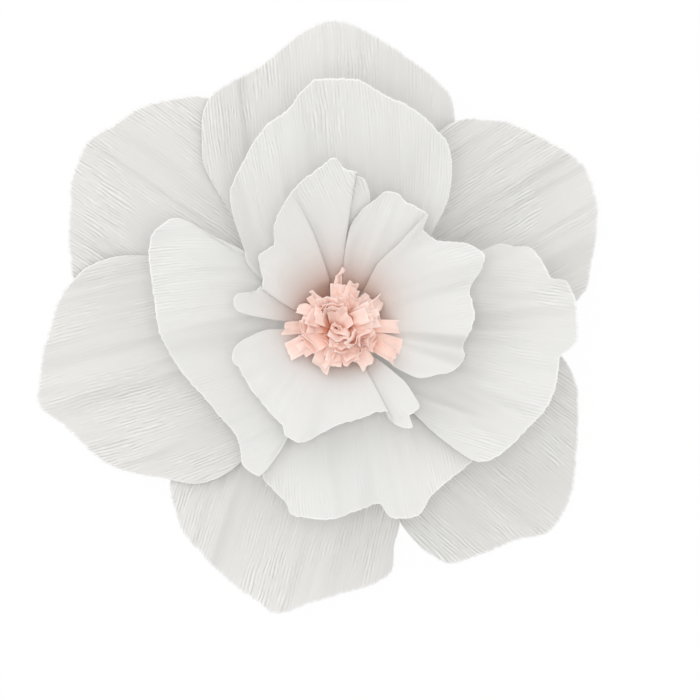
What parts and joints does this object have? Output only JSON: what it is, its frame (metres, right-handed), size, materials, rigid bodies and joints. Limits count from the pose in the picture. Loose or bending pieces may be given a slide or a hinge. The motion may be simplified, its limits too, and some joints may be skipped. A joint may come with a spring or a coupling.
{
  "type": "crepe paper flower",
  "caption": "Open crepe paper flower lying on its back, layers of gathered white petals tied round a rolled pink fringe, with a flat cut stub behind.",
  "frame": {"origin": "centre of the cut end of the stub, where the flower stands on a table", "axes": "+Z out of the cut end, along the flower's axis towards its face; +Y towards the top petal, +X to the right of the flower seen from its face"},
  "size_m": [0.2807, 0.298, 0.0798],
  "materials": {
    "white_crepe_paper": "matte, fine crepe ridges along the petal",
    "pink_crepe_paper": "matte, fine crepe ridges",
    "white_thread": "soft twisted cotton"
  },
  "bodies": {
    "root": {"center_fringe_roll": "pink_crepe_paper", "inner_petal_top_left": "white_crepe_paper", "inner_petal_top_right": "white_crepe_paper", "inner_petal_right": "white_crepe_paper", "inner_petal_bottom": "white_crepe_paper", "middle_petal_top": "white_crepe_paper", "middle_petal_left": "white_crepe_paper", "middle_petal_bottom": "white_crepe_paper", "middle_petal_right": "white_crepe_paper", "outer_petal_top": "white_crepe_paper", "outer_petal_upper_left": "white_crepe_paper", "outer_petal_left": "white_crepe_paper", "outer_petal_bottom_left": "white_crepe_paper", "outer_petal_bottom_right": "white_crepe_paper", "outer_petal_upper_right": "white_crepe_paper", "binding_thread": "white_thread"}
  },
  "joints": []
}
